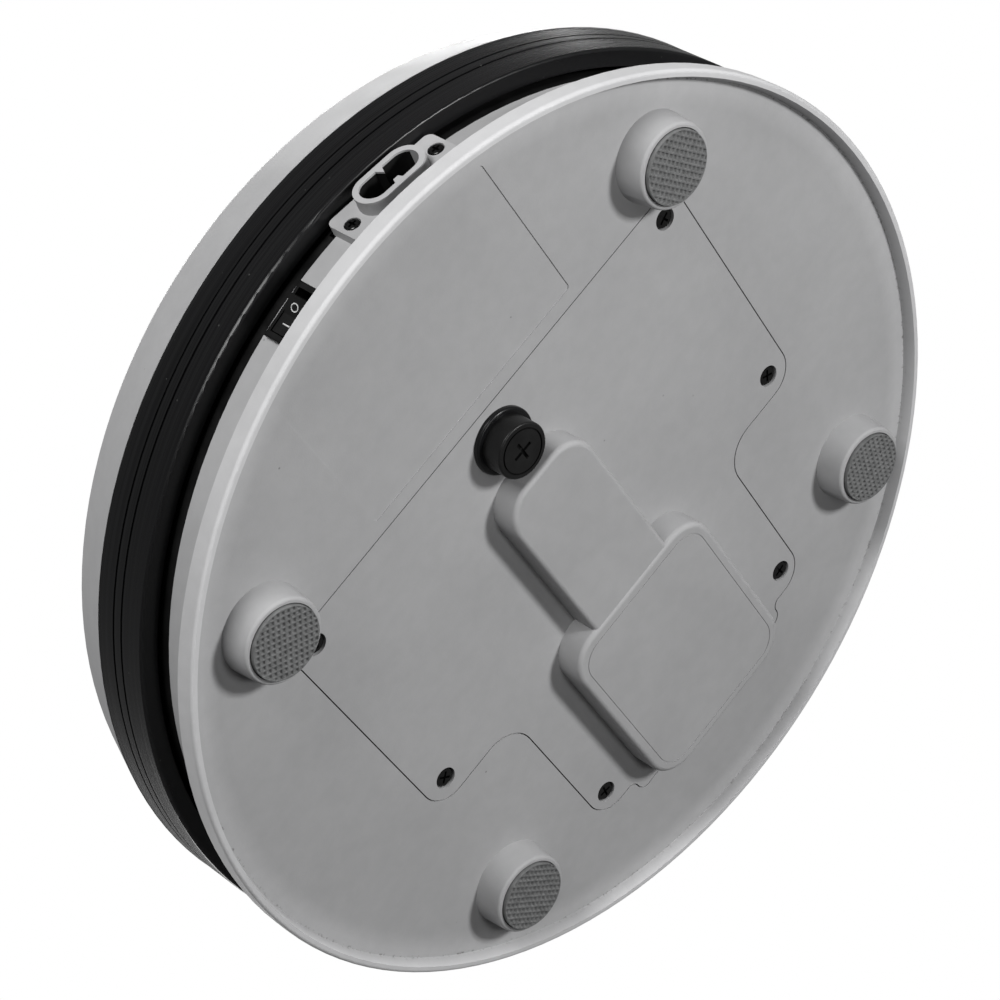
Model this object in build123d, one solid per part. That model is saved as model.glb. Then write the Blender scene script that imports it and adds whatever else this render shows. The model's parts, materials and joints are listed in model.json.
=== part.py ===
from build123d import *
import math
import os

# Mains powered rotating display turntable, millimetres, +Z up.
# The origin is on the turning axis, at the height that the four foot pads stand on.

# Overall sizes
base_rim_r = 110.0
platter_top_z = 53.7

# Clearances that mating pieces share
panel_gap = 0.3
screw_gap = 0.15
running_gap = 0.05
body_gap = 0.3

# Base pan: floor, drip lip round its edge, side wall
floor_z = 8.2
floor_t = 2.6
lip_w = 1.7
lip_slope_w = 1.0
lip_bottom_z = 5.4
lip_edge_fillet = 0.9
flange_top_z = 10.0
flange_w = 6.0
wall_t = 2.4
wall_top_z = 21.4
floor_top_z = floor_z + floor_t
lip_inner_r = base_rim_r - lip_w
floor_edge_r = lip_inner_r - lip_slope_w
wall_r = base_rim_r - flange_w
wall_inner_r = wall_r - wall_t

# Feet
foot_inset = 20.318
foot_azimuth = 42.424
foot_ring_r = base_rim_r - foot_inset
foot_root_r = 10.74
foot_end_r = 10.0
foot_end_z = 0.9
foot_core_r = 7.4
foot_skin = 2.0
foot_edge_fillet = 0.8
pad_r = 8.66
pad_t = 2.6
pad_gap = 0.25

# Bottom cover outline, seen in plan
cover_t = 2.4
cover_half_x = 66.5
cover_top_y = 50.2
shoulder_y = -23.5
leg_half_x = 39.6
leg_y = -74.4
tab_half_x = 27.5
tab_y = -79.6
cover_corner_r = 7.0
cover_neck_r = 9.0
tab_corner_r = 2.5
cover_top_z = floor_z + cover_t

# Shallow rectangle moulded into the floor beside the inlet
label_half_x = 33.3
label_near_y = cover_top_y + 4.0
label_far_y = base_rim_r - 11.6
label_depth = 0.25
label_corner_r = 1.0

# Ledge and bosses that the cover screws into
ledge_t = 2.0
ledge_out = 2.0
ledge_in = 4.0
boss_r = 4.0
boss_h = 9.0
cover_screw_spots = [(60.6, 44.5), (60.4, -17.6), (34.6, -68.4)]

# Stepped housing that bulges down from the cover
narrow_half_x = 13.2
narrow_end_y = 31.5
narrow_bottom_z = 1.2
wide_half_x = 23.6
wide_start_y = -18.0
wide_end_y = -76.5
wide_bottom_z = 0.8
housing_corner_r = 9.0
housing_wall = 1.8
housing_edge_fillet = 1.2
panel_line_in = 2.5
panel_line_w = 0.4
panel_line_depth = 0.15

# Screws: pan head with a cross recess
cover_head_r = 2.55
cover_head_h = 1.3
cover_head_sunk = 0.35
cover_shank_r = 1.35
cover_screw_len = 8.0
cover_screw_turn = 20
small_head_r = 1.75
small_head_h = 1.3
small_shank_r = 1.1
small_screw_len = 8.0
motor_head_r = 2.8
motor_head_h = 2.0
motor_shank_r = 1.4
motor_screw_len = 9.0
deck_head_r = 2.6
deck_head_h = 1.8
deck_shank_r = 1.4
deck_screw_len = 12.0
deck_screw_turn = 17
skirt_head_r = 2.2
skirt_head_h = 1.6
skirt_shank_r = 1.1
skirt_screw_len = 9.0
skirt_screw_turn = 11
hub_head_r = 2.2
hub_head_h = 1.6
hub_shank_r = 1.25
hub_screw_len = 8.0
cross_width = 0.55
cross_len_share = 1.2
cross_depth_share = 0.6
head_round_share = 0.45

# Black deck that closes the base and carries the turning parts
deck_top_z = 33.6
deck_t = 2.6
collar_step = 0.6
collar_t = 2.4
spigot_drop = 3.0
spigot_rise = 3.0
spigot_t = 1.8
deck_hub_r = 15.0
deck_hub_bottom_z = 28.0
deck_hub_top_z = 35.2
deck_under_z = deck_top_z - deck_t
deck_post_r = 4.0
deck_screw_inset = 9.1
deck_screw_count = 6
collar_r = wall_r - collar_step
deck_screw_ring_r = wall_inner_r - deck_screw_inset

# Bushing and spindle
shaft_r = 5.0
bush_r = 7.5
bush_flange_r = 10.5
bush_flange_t = 1.2
thrust_washer_t = 1.0
thrust_washer_r = 8.5
axial_gap = 0.2
shoulder_r = 7.0
shoulder_t = 1.8
spindle_flange_r = 14.0
spindle_flange_t = 3.0
spindle_spigot_h = 3.0
spindle_end_z = 14.4
hub_screw_ring_r = 10.2
hub_screw_count = 3
hub_screw_start = 90

# Ball race
race_inset = 10.5
race_w = 14.0
race_outer_r = deck_screw_ring_r - race_inset
race_inner_r = race_outer_r - race_w
race_mid_r = (race_inner_r + race_outer_r) / 2
race_t = 2.6
race_floor_t = 1.0
ball_r = 4.0
ball_count = 16
ball_play = 0.08
cage_half_w = 4.5
cage_t = 2.2
pocket_play = 0.2
race_lip_t = 1.2
race_lip_h = 1.0
ball_z = deck_top_z + race_floor_t + ball_play + ball_r
upper_race_top_z = 2 * ball_z - deck_top_z

# Platter and skirt
skirt_gap = 1.6
skirt_wall_t = 4.2
skirt_bottom_z = 24.1
skirt_top_z = 39.6
skirt_flange_t = 2.6
skirt_flange_w = 8.5
skirt_edge_fillet = 0.7
groove_heights = [31.3, 34.1]
groove_w = 0.6
groove_depth = 0.35
skirt_screw_inset = 4.5
skirt_screw_count = 6
platter_lap = 0.1
platter_slope_w = 4.9
platter_edge_fillet = 3.0
platter_top_t = 3.0
platter_wall_t = 3.0
platter_hub_r = 17.0
platter_rib_t = 2.0
platter_rib_h = 4.5
platter_rib_count = 12
race_rib_t = 1.6
skirt_post_r = 3.2
platter_under_z = platter_top_z - platter_top_t
skirt_inner_r = collar_r + skirt_gap
skirt_r = skirt_inner_r + skirt_wall_t
skirt_flange_inner_r = skirt_inner_r - skirt_flange_w
skirt_screw_ring_r = skirt_inner_r - skirt_screw_inset
platter_r = skirt_r + platter_lap
platter_edge_r = platter_r - platter_slope_w

# Drive gears
gear_module = 1.0
main_teeth = 54
pinion_teeth = 14
gear_bottom_z = 21.0
gear_face_w = 5.0
gear_web_t = 2.4
gear_rim_t = 2.2
gear_hub_r = 9.0
gear_hub_drop = 3.8
tooth_share = 0.40
addendum_share = 0.9
dedendum_share = 1.2
tooth_foot_share = 0.97
pressure_angle = 20.0
main_pitch_r = gear_module * main_teeth / 2
pinion_pitch_r = gear_module * pinion_teeth / 2
gear_centres = main_pitch_r + pinion_pitch_r
gear_top_z = gear_bottom_z + gear_face_w
gear_hub_bottom_z = gear_bottom_z - gear_hub_drop
gear_pin_r = 1.0
gear_pin_rise = 1.6
clip_t = 1.0
clip_r = 7.4
clip_groove = 0.8
spacer_r = 8.0

# Geared motor in the wide part of the housing
motor_y = -50.0
motor_r = 20.6
motor_bottom_z = 3.4
motor_can_h = 9.0
gearbox_h = 6.2
motor_plate_t = 1.2
motor_ear_x = 26.0
motor_ear_r = 4.6
motor_shaft_r = 3.0
shaft_boss_r = 5.0
shaft_boss_h = 0.6
shaft_depth = 5.0
shaft_stick_out = 1.0
can_bead_depth = 0.6
can_bead_outer_r = 16.5
can_bead_inner_r = 11.3
motor_post_r = 3.8
can_top_z = motor_bottom_z + motor_can_h
gearbox_top_z = can_top_z + gearbox_h
motor_plate_top_z = gearbox_top_z + motor_plate_t
pinion_y = -gear_centres

# Two pin inlet in the side wall
inlet_azimuth = 100.2
inlet_z = 18.0
side_stand_off = 1.4
side_front_d = wall_r + side_stand_off
side_cut_depth = 7.2
inlet_flange_w = 30.4
inlet_flange_h = 11.0
inlet_flange_t = 2.5
inlet_corner_r = 1.8
inlet_screw_half = 12.3
shroud_w = 18.1
shroud_h = 9.5
shroud_rise = 3.5
socket_w = 15.3
socket_h = 6.8
socket_depth = 12.0
socket_floor_t = 2.0
inlet_body_w = 19.6
inlet_body_h = 8.8
inlet_pin_r = 1.2
inlet_pin_half = 4.0
inlet_pin_back = 5.5
inlet_tail = 4.0
inlet_tail_r = 0.8
rib_top_w = 1.9
rib_top_depth = 2.0
rib_low_w = 2.2
rib_low_tip_w = 1.4
rib_low_depth = 1.2

# Rocker switch in the side wall
switch_azimuth = 81.5
switch_z = 16.0
switch_w = 13.5
switch_h = 8.0
switch_bezel_t = 1.7
switch_bezel_fillet = 0.4
switch_body_w = 12.4
switch_body_h = 7.0
switch_body_depth = 11.0
rocker_well_half = 5.35
rocker_well_h = 5.9
rocker_well_depth = 7.2
rocker_half_len = 4.3
rocker_width = 5.3
rocker_pivot_depth = 3.5
rocker_tilt = 12.0
rocker_flush = 0.1
rocker_skirt = 2.4
rocker_pin_r = 0.8
rocker_pin_bury = 0.35
switch_tag_w = 2.8
switch_tag_t = 0.6
switch_tag_len = 4.0
switch_tag_half = 3.2

# Fuse holder through the cover
fuse_y = 40.0
fuse_bezel_r = 8.1
fuse_bezel_t = 1.3
fuse_body_r = 6.2
fuse_body_top_z = 27.0
fuse_body_end_t = 1.6
fuse_bore_r = 5.3
fuse_nut_r = 8.8
fuse_nut_t = 3.0
fuse_cap_r = 6.75
fuse_cap_bottom_z = 1.4
fuse_cap_fillet = 0.5
fuse_cap_ring_r = 5.4
fuse_cap_ring_w = 0.4
fuse_cap_slot_len = 5.2
fuse_cap_slot_w = 0.8
fuse_cap_slot_depth = 1.0
fuse_stem_len = 8.0
fuse_len = 20.0
fuse_end_r = 2.6
fuse_end_len = 5.0
fuse_glass_r = 2.4
fuse_glass_t = 0.5
fuse_seat_depth = 2.8
fuse_tag_r = 0.7
fuse_tag_w = 2.8
fuse_tag_t = 0.6
fuse_tag_len = 3.5
fuse_tag_z = 16.3
fuse_contact_r = 3.0

# Terminal block inside the narrow part of the housing
block_w = 16.0
block_len = 13.0
block_h = 8.5
block_y = 12.0
block_post_r = 1.7
block_post_half = 4.0

# Wires inside the base
wire_r = 0.8
wire_lead = 15.0
wire_z = 15.0
bend_share = 0.45
lead_bow = 2.0
block_port_z = narrow_bottom_z + housing_wall + block_h / 2


def lathe(points):
    """A solid turned about the Z axis from radius and height pairs."""
    outline = Polyline(*[(r, 0, z) for r, z in points], close=True)
    return revolve(make_face(outline), Axis.Z)


def disc(radius, low, high, x=0.0, y=0.0):
    """An upright cylinder between two heights."""
    return Pos(x, y, (low + high) / 2) * Cylinder(radius, high - low)


def ring(outer, inner, low, high, x=0.0, y=0.0):
    """An upright tube between two heights."""
    return disc(outer, low, high, x, y) - disc(inner, low, high, x, y)


def slab(face, low, high):
    """A plan outline raised between two heights."""
    return extrude(Pos(0, 0, low) * face, high - low)


def polar(radius, degrees):
    """Plan position at a radius and an angle."""
    return radius * math.cos(math.radians(degrees)), radius * math.sin(math.radians(degrees))


def spots_on_ring(radius, count, start=0.0):
    """Evenly spaced plan positions on a circle."""
    return [polar(radius, start + 360.0 * k / count) for k in range(count)]


def round_edge(part, radius, height, size):
    """Round the circular edges of one radius and height that are centred on the axis."""
    edges = part.edges().filter_by(GeomType.CIRCLE)
    chosen = [
        e for e in edges
        if abs(e.radius - radius) < 0.01 and abs(e.arc_center.Z - height) < 0.01
    ]
    return fillet(chosen, size)


def side_plane(azimuth, distance, height):
    """A plane facing outward from the axis: x runs round the wall, y runs up."""
    a = math.radians(azimuth)
    outward = (math.cos(a), math.sin(a), 0)
    around = (-math.sin(a), math.cos(a), 0)
    origin = (distance * math.cos(a), distance * math.sin(a), height)
    return Plane(origin=origin, x_dir=around, z_dir=outward)


def pan_screw(head_r, head_h, shank_r, length):
    """Pan head screw with a cross recess: head upward from zero, shank downward."""
    head = fillet(
        (Pos(0, 0, head_h / 2) * Cylinder(head_r, head_h)).edges().filter_by(GeomType.CIRCLE)
        .sort_by(Axis.Z)[-1], head_h * head_round_share)
    shank = Pos(0, 0, -length / 2) * Cylinder(shank_r, length)
    depth = head_h * cross_depth_share
    arm = head_r * cross_len_share
    cut_z = head_h - depth / 2
    cross = Pos(0, 0, cut_z) * Box(arm, cross_width, depth)
    cross += Pos(0, 0, cut_z) * Box(cross_width, arm, depth)
    return head + shank - cross


def mirrored_spots(spots):
    """Each plan position and its twin across the middle plane."""
    return [(side * x, y) for x, y in spots for side in (1, -1)]


def cover_outline(grow=0.0):
    """Plan outline of the bottom cover, grown or shrunk all round."""
    half = [
        (cover_half_x, cover_top_y, cover_corner_r),
        (cover_half_x, shoulder_y, cover_corner_r),
        (leg_half_x, shoulder_y, cover_neck_r),
        (leg_half_x, leg_y, cover_corner_r),
        (tab_half_x, leg_y, tab_corner_r),
        (tab_half_x, tab_y, tab_corner_r),
    ]
    left = [(-x, y, r) for x, y, r in half]
    loop = half + left[::-1]
    points = [(x, y) for x, y, r in loop]
    radii = [r for x, y, r in loop]
    face = make_face(FilletPolyline(*points, radius=radii, close=True))
    return offset(face, grow) if grow else face


def rounded_plate(x0, x1, y0, y1, radius):
    """A rounded rectangle in plan."""
    centre = Pos((x0 + x1) / 2, (y0 + y1) / 2)
    return centre * RectangleRounded(x1 - x0, y1 - y0, radius)


def housing_blocks(inset, narrow_z, wide_z, top, edge_fillet):
    """The narrow and wide blocks of the stepped housing, inset from its outside."""
    corner = housing_corner_r - inset
    narrow_face = rounded_plate(
        -narrow_half_x + inset, narrow_half_x - inset,
        wide_start_y - 2 * housing_corner_r, narrow_end_y - inset, corner)
    wide_face = rounded_plate(
        -wide_half_x + inset, wide_half_x - inset,
        wide_end_y + inset, wide_start_y - inset, corner)
    blocks = []
    for face, low in ((narrow_face, narrow_z), (wide_face, wide_z)):
        block = slab(face, low, top)
        if edge_fillet:
            block = fillet(block.faces().sort_by(Axis.Z)[0].edges(), edge_fillet)
        blocks.append(block)
    return blocks[0] + blocks[1]


def foot_spots():
    """Plan positions of the four feet."""
    half_x, half_y = polar(foot_ring_r, foot_azimuth)
    return [(sx * half_x, sy * half_y) for sx in (1, -1) for sy in (1, -1)]


def foot_boss(x, y):
    """One tapered foot boss, solid, from its end to the floor."""
    cone = Cone(foot_end_r, foot_root_r, floor_z - foot_end_z)
    boss = Pos(x, y, (floor_z + foot_end_z) / 2) * cone
    end_edge = boss.edges().filter_by(GeomType.CIRCLE).sort_by(Axis.Z)[0]
    return fillet(end_edge, foot_edge_fillet)


def inlet_plane():
    """Front face of the inlet flange."""
    return side_plane(inlet_azimuth, side_front_d, inlet_z)


def switch_plane():
    """Front face of the switch bezel."""
    return side_plane(switch_azimuth, side_front_d, switch_z)


def box_on(plane, width, height, back, front, x=0.0, y=0.0):
    """A box on a side plane, from a back depth to a front depth."""
    depth = front - back
    return plane * (Pos(x, y, (back + front) / 2) * Box(width, height, depth))


def base_pan():
    """Light grey base: floor, lip, wall, foot bosses, ledge and screw posts."""
    pan = lathe([
        (0, floor_z), (floor_edge_r, floor_z), (lip_inner_r, lip_bottom_z),
        (base_rim_r, lip_bottom_z), (base_rim_r, flange_top_z), (wall_r, flange_top_z),
        (wall_r, wall_top_z), (wall_inner_r, wall_top_z), (wall_inner_r, floor_top_z),
        (0, floor_top_z)])
    pan = round_edge(pan, base_rim_r, lip_bottom_z, lip_edge_fillet)
    for x, y in foot_spots():
        pan += foot_boss(x, y)
        pan -= disc(foot_core_r, foot_end_z + pad_t + foot_skin, floor_top_z, x, y)
        pan -= disc(pad_r + pad_gap, foot_end_z, pad_t, x, y)
    for x, y in mirrored_spots(cover_screw_spots):
        pan += disc(boss_r, cover_top_z, cover_top_z + ledge_t + boss_h, x, y)
    ledge = cover_outline(ledge_out)
    pan += slab(ledge, cover_top_z, cover_top_z + ledge_t)
    core = slab(cover_outline(-ledge_in), floor_z, cover_top_z + ledge_t)
    for x, y in mirrored_spots(cover_screw_spots):
        core -= disc(boss_r, cover_top_z, cover_top_z + ledge_t, x, y)
    core += disc(fuse_nut_r + body_gap, cover_top_z, cover_top_z + ledge_t, 0, fuse_y)
    pan -= core
    pan -= slab(cover_outline(panel_gap), floor_z, cover_top_z)
    for x, y in mirrored_spots(cover_screw_spots):
        pan -= disc(cover_shank_r, cover_top_z, cover_top_z + cover_screw_len, x, y)
    for x, y in spots_on_ring(deck_screw_ring_r, deck_screw_count):
        pan += disc(deck_post_r, floor_top_z, deck_under_z, x, y)
        pan -= disc(deck_shank_r, deck_under_z - deck_screw_len, deck_under_z, x, y)
    label = rounded_plate(-label_half_x, label_half_x, label_near_y, label_far_y,
                          label_corner_r)
    pan -= slab(label, floor_z, floor_z + label_depth)
    return pan - inlet_cuts() - switch_cuts()


def inlet_cuts():
    """Flat seat, body notch and screw holes for the inlet."""
    plane = inlet_plane()
    reach = base_rim_r - side_front_d
    seat_h = inlet_flange_h + 2 * panel_gap
    cuts = box_on(plane, inlet_flange_w + 2 * panel_gap, seat_h, -inlet_flange_t, reach)
    notch_low = -inlet_body_h / 2 - panel_gap
    notch_high = wall_top_z - inlet_z
    notch_mid = (notch_low + notch_high) / 2
    cuts += box_on(plane, inlet_body_w + 2 * panel_gap, notch_high - notch_low,
                   -inlet_flange_t - side_cut_depth, -inlet_flange_t, 0, notch_mid)
    for side in (1, -1):
        hole = Pos(side * inlet_screw_half, 0, -small_screw_len / 2)
        cuts += plane * (hole * Cylinder(small_shank_r, small_screw_len))
    return cuts


def switch_cuts():
    """Flat seat and body window for the switch."""
    plane = switch_plane()
    reach = base_rim_r - side_front_d
    seat_h = switch_h + 2 * screw_gap
    cuts = box_on(plane, switch_w + 2 * screw_gap, seat_h, -switch_bezel_t, reach)
    cuts += box_on(plane, switch_body_w + 2 * screw_gap, switch_body_h + 2 * screw_gap,
                   -switch_bezel_t - side_cut_depth, -switch_bezel_t)
    return cuts


def foot_pads():
    """Four round rubber pads set into the feet."""
    return [disc(pad_r, 0, pad_t, x, y) for x, y in foot_spots()]


def bottom_cover():
    """Flush cover plate with the stepped housing and counterbored screw holes."""
    plate = slab(cover_outline(), floor_z, cover_top_z)
    plate += housing_blocks(0, narrow_bottom_z, wide_bottom_z, cover_top_z,
                            housing_edge_fillet)
    plate -= housing_blocks(housing_wall, narrow_bottom_z + housing_wall,
                            wide_bottom_z + housing_wall, cover_top_z, 0)
    for x, y in mirrored_spots(cover_screw_spots):
        plate -= disc(cover_shank_r + screw_gap, floor_z, cover_top_z, x, y)
        plate -= disc(cover_head_r + screw_gap, floor_z,
                      floor_z + cover_head_h + cover_head_sunk, x, y)
    plate -= disc(fuse_body_r + screw_gap, floor_z, cover_top_z, 0, fuse_y)
    return plate - panel_line()


def panel_line():
    """Fine moulded line round the face of the wide housing."""
    loops = []
    for inset in (panel_line_in, panel_line_in + panel_line_w):
        face = rounded_plate(
            -wide_half_x + inset, wide_half_x - inset, wide_end_y + inset,
            wide_start_y - inset, housing_corner_r - inset)
        loops.append(slab(face, wide_bottom_z, wide_bottom_z + panel_line_depth))
    return loops[0] - loops[1]


def cover_screws():
    """Six screws that hold the cover, heads down in their counterbores."""
    screw = pan_screw(cover_head_r, cover_head_h, cover_shank_r, cover_screw_len)
    seat = floor_z + cover_head_h + cover_head_sunk
    spots = mirrored_spots(cover_screw_spots)
    return [Pos(x, y, seat) * Rot(180, 0, cover_screw_turn * k) * screw for k, (x, y) in enumerate(spots)]


def deck():
    """Black deck: plate, collar, spigot into the wall, hub and motor posts."""
    body = lathe([
        (0, deck_under_z), (collar_r - collar_t, deck_under_z),
        (collar_r - collar_t, wall_top_z), (collar_r, wall_top_z),
        (collar_r, deck_top_z), (0, deck_top_z)])
    spigot_r = wall_inner_r - panel_gap
    body += ring(spigot_r, spigot_r - spigot_t, wall_top_z - spigot_drop,
                 wall_top_z + spigot_rise)
    body += disc(deck_hub_r, deck_hub_bottom_z, deck_hub_top_z)
    body -= disc(bush_r, deck_hub_bottom_z, deck_hub_top_z)
    body += ring(race_outer_r + race_lip_t, race_outer_r, deck_top_z, deck_top_z + race_lip_h)
    for x, y in spots_on_ring(deck_screw_ring_r, deck_screw_count):
        body -= disc(deck_shank_r + screw_gap, deck_under_z, deck_top_z, x, y)
    for side in (1, -1):
        x = side * motor_ear_x
        body += disc(motor_post_r, motor_plate_top_z, deck_under_z, x, motor_y)
        body -= disc(motor_shank_r, motor_plate_top_z, deck_under_z, x, motor_y)
    body -= side_notch(inlet_plane(), inlet_flange_w, inlet_flange_h,
                       socket_depth + socket_floor_t)
    return body - side_notch(switch_plane(), switch_w, switch_h,
                             switch_bezel_t + switch_body_depth)


def side_notch(plane, width, height, depth):
    """Clear space behind a piece in the side wall, open at the bottom."""
    top = height / 2 + panel_gap
    low = wall_top_z - spigot_drop - plane.origin.Z - body_gap
    return box_on(plane, width + 2 * panel_gap, top - low, -depth, depth, 0, (top + low) / 2)


def deck_screws():
    """Six screws down through the deck into the base posts."""
    screw = pan_screw(deck_head_r, deck_head_h, deck_shank_r, deck_screw_len)
    spots = spots_on_ring(deck_screw_ring_r, deck_screw_count)
    return [Pos(x, y, deck_top_z) * Rot(0, 0, deck_screw_turn * k) * screw for k, (x, y) in enumerate(spots)]


def race_ring(low, high):
    """Steel race with a round groove that fits the balls."""
    blank = ring(race_outer_r, race_inner_r, low, high)
    return blank - Pos(0, 0, ball_z) * Torus(race_mid_r, ball_r + ball_play)


def ball_cage():
    """Flat nylon ring with a pocket for each ball."""
    low = ball_z - cage_t / 2
    high = ball_z + cage_t / 2
    cage = ring(race_mid_r + cage_half_w, race_mid_r - cage_half_w, low, high)
    for x, y in spots_on_ring(race_mid_r, ball_count):
        cage -= disc(ball_r + pocket_play, low, high, x, y)
    return cage


def race_balls():
    """The steel balls."""
    return [Pos(x, y, ball_z) * Sphere(ball_r) for x, y in spots_on_ring(race_mid_r, ball_count)]


def deck_bushing():
    """Flanged bronze bushing pressed into the deck hub."""
    body = disc(bush_r, deck_hub_bottom_z, deck_hub_top_z)
    body += disc(bush_flange_r, deck_hub_top_z, deck_hub_top_z + bush_flange_t)
    return body - disc(shaft_r + running_gap, deck_hub_bottom_z, deck_hub_top_z + bush_flange_t)


def thrust_washer():
    """Loose washer between the bushing and the spindle shoulder."""
    low = deck_hub_top_z + bush_flange_t
    return ring(thrust_washer_r, shaft_r + running_gap, low, low + thrust_washer_t)


shoulder_z = deck_hub_top_z + bush_flange_t + thrust_washer_t + axial_gap
spindle_flange_z = shoulder_z + shoulder_t
spindle_top_z = spindle_flange_z + spindle_flange_t


def spindle():
    """Turned steel spindle with shoulder, flange, clip groove and cross pin hole."""
    body = disc(shaft_r, spindle_end_z, spindle_top_z + spindle_spigot_h)
    body += disc(shoulder_r, shoulder_z, spindle_flange_z)
    body += disc(spindle_flange_r, spindle_flange_z, spindle_top_z)
    body -= ring(shaft_r, shaft_r - clip_groove, gear_hub_bottom_z - clip_t, gear_hub_bottom_z)
    for x, y in spots_on_ring(hub_screw_ring_r, hub_screw_count, hub_screw_start):
        body -= disc(hub_shank_r + screw_gap, spindle_flange_z, spindle_top_z, x, y)
    return body - gear_pin()


def spindle_screws():
    """Three screws up through the spindle flange into the platter hub."""
    screw = pan_screw(hub_head_r, hub_head_h, hub_shank_r, hub_screw_len)
    spots = spots_on_ring(hub_screw_ring_r, hub_screw_count, hub_screw_start)
    return [Pos(x, y, spindle_flange_z) * Rot(180, 0, 0) * screw for x, y in spots]


def gear_pin():
    """Cross pin through the gear hub and the spindle."""
    z = gear_hub_bottom_z + gear_pin_rise
    return Pos(0, 0, z) * Rot(90, 0, 0) * Cylinder(gear_pin_r, 2 * gear_hub_r)


def toothed_disc(teeth, low, high, first_angle):
    """Spur gear blank with straight sided teeth."""
    pitch_r = gear_module * teeth / 2
    tip_r = pitch_r + addendum_share * gear_module
    root_r = pitch_r - dedendum_share * gear_module
    half = tooth_share * math.pi * gear_module / 2
    slope = math.tan(math.radians(pressure_angle))
    tip_half = half - slope * (tip_r - pitch_r)
    root_half = half + slope * (pitch_r - root_r)
    inner = root_r * tooth_foot_share
    points = [(inner, -root_half), (root_r, -root_half), (tip_r, -tip_half),
              (tip_r, tip_half), (root_r, root_half), (inner, root_half)]
    tooth = slab(make_face(Polyline(*points, close=True)), low, high)
    blank = disc(root_r, low, high)
    turned = [Rot(0, 0, first_angle + 360.0 * k / teeth) * tooth for k in range(teeth)]
    return blank.fuse(*turned)


def main_gear():
    """Large plastic gear pinned to the spindle, with a thin web."""
    gear = toothed_disc(main_teeth, gear_bottom_z, gear_top_z, -90)
    rim_in = main_pitch_r - dedendum_share * gear_module - gear_rim_t
    web_low = (gear_bottom_z + gear_top_z - gear_web_t) / 2
    web_high = web_low + gear_web_t
    gear -= ring(rim_in, gear_hub_r, gear_bottom_z, web_low)
    gear -= ring(rim_in, gear_hub_r, web_high, gear_top_z)
    gear += disc(gear_hub_r, gear_hub_bottom_z, gear_bottom_z)
    gear -= disc(shaft_r, gear_hub_bottom_z, gear_top_z)
    return gear - gear_pin()


def drive_pinion():
    """Small steel pinion on the motor shaft."""
    half_pitch = 180.0 / pinion_teeth
    pinion = toothed_disc(pinion_teeth, gear_bottom_z, gear_top_z, 90 + half_pitch)
    pinion -= disc(motor_shaft_r, gear_bottom_z, gear_top_z)
    return Pos(0, pinion_y, 0) * pinion


def hub_spacer():
    """Washer that fills the space between the gear and the deck hub."""
    return ring(spacer_r, shaft_r + running_gap, gear_top_z + axial_gap,
                deck_hub_bottom_z - axial_gap)


def retaining_clip():
    """Open ring in the spindle groove under the gear hub."""
    clip = ring(clip_r, shaft_r - clip_groove, gear_hub_bottom_z - clip_t, gear_hub_bottom_z)
    return clip - Pos(0, clip_r, gear_hub_bottom_z) * Box(clip_r / 2, clip_r, 3 * clip_t)


def platter():
    """Round top plate with a sloping side, ribs, hub and screw posts."""
    slope = (platter_r - platter_edge_r) / (platter_top_z - skirt_top_z)
    inner_top_r = platter_edge_r + slope * platter_top_t - platter_wall_t
    body = lathe([
        (0, platter_under_z), (inner_top_r, platter_under_z),
        (platter_r - platter_wall_t, skirt_top_z), (platter_r, skirt_top_z),
        (platter_edge_r, platter_top_z), (0, platter_top_z)])
    body = round_edge(body, platter_edge_r, platter_top_z, platter_edge_fillet)
    body += disc(platter_hub_r, spindle_top_z, platter_under_z)
    for r in (race_inner_r, race_outer_r - race_rib_t):
        body += ring(r + race_rib_t, r, upper_race_top_z, platter_under_z)
    rib_low = platter_under_z - platter_rib_h
    rib_span = inner_top_r - platter_hub_r
    for k in range(platter_rib_count):
        rib = Box(rib_span, platter_rib_t, platter_rib_h)
        middle = Pos(platter_hub_r + rib_span / 2, 0, rib_low + platter_rib_h / 2)
        body += Rot(0, 0, 360.0 * (k + 0.5) / platter_rib_count) * middle * rib
    for x, y in spots_on_ring(skirt_screw_ring_r, skirt_screw_count):
        body += disc(skirt_post_r, skirt_top_z, platter_under_z, x, y)
        body -= disc(skirt_shank_r, skirt_top_z, skirt_top_z + skirt_screw_len, x, y)
    body -= disc(shaft_r, spindle_top_z, spindle_top_z + spindle_spigot_h)
    for x, y in spots_on_ring(hub_screw_ring_r, hub_screw_count, hub_screw_start):
        body -= disc(hub_shank_r, spindle_top_z, spindle_top_z + hub_screw_len, x, y)
    return body


def skirt_ring():
    """Gloss black skirt that hangs under the platter, with two fine grooves."""
    flange_z = skirt_top_z - skirt_flange_t
    body = lathe([
        (skirt_flange_inner_r, flange_z), (skirt_inner_r, flange_z),
        (skirt_inner_r, skirt_bottom_z), (skirt_r, skirt_bottom_z),
        (skirt_r, skirt_top_z), (skirt_flange_inner_r, skirt_top_z)])
    body = round_edge(body, skirt_r, skirt_bottom_z, skirt_edge_fillet)
    for z in groove_heights:
        body -= ring(skirt_r, skirt_r - groove_depth, z - groove_w / 2, z + groove_w / 2)
    for x, y in spots_on_ring(skirt_screw_ring_r, skirt_screw_count):
        body -= disc(skirt_shank_r + screw_gap, flange_z, skirt_top_z, x, y)
    return body


def skirt_screws():
    """Six screws up through the skirt flange into the platter posts."""
    screw = pan_screw(skirt_head_r, skirt_head_h, skirt_shank_r, skirt_screw_len)
    seat = skirt_top_z - skirt_flange_t
    spots = spots_on_ring(skirt_screw_ring_r, skirt_screw_count)
    return [Pos(x, y, seat) * Rot(180, 0, skirt_screw_turn * k) * screw for k, (x, y) in enumerate(spots)]


def motor_can():
    """Pressed steel motor can with a bead round its end."""
    can = disc(motor_r, motor_bottom_z, can_top_z, 0, motor_y)
    bead = ring(can_bead_outer_r, can_bead_inner_r, motor_bottom_z,
                motor_bottom_z + can_bead_depth, 0, motor_y)
    return can - bead


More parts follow.
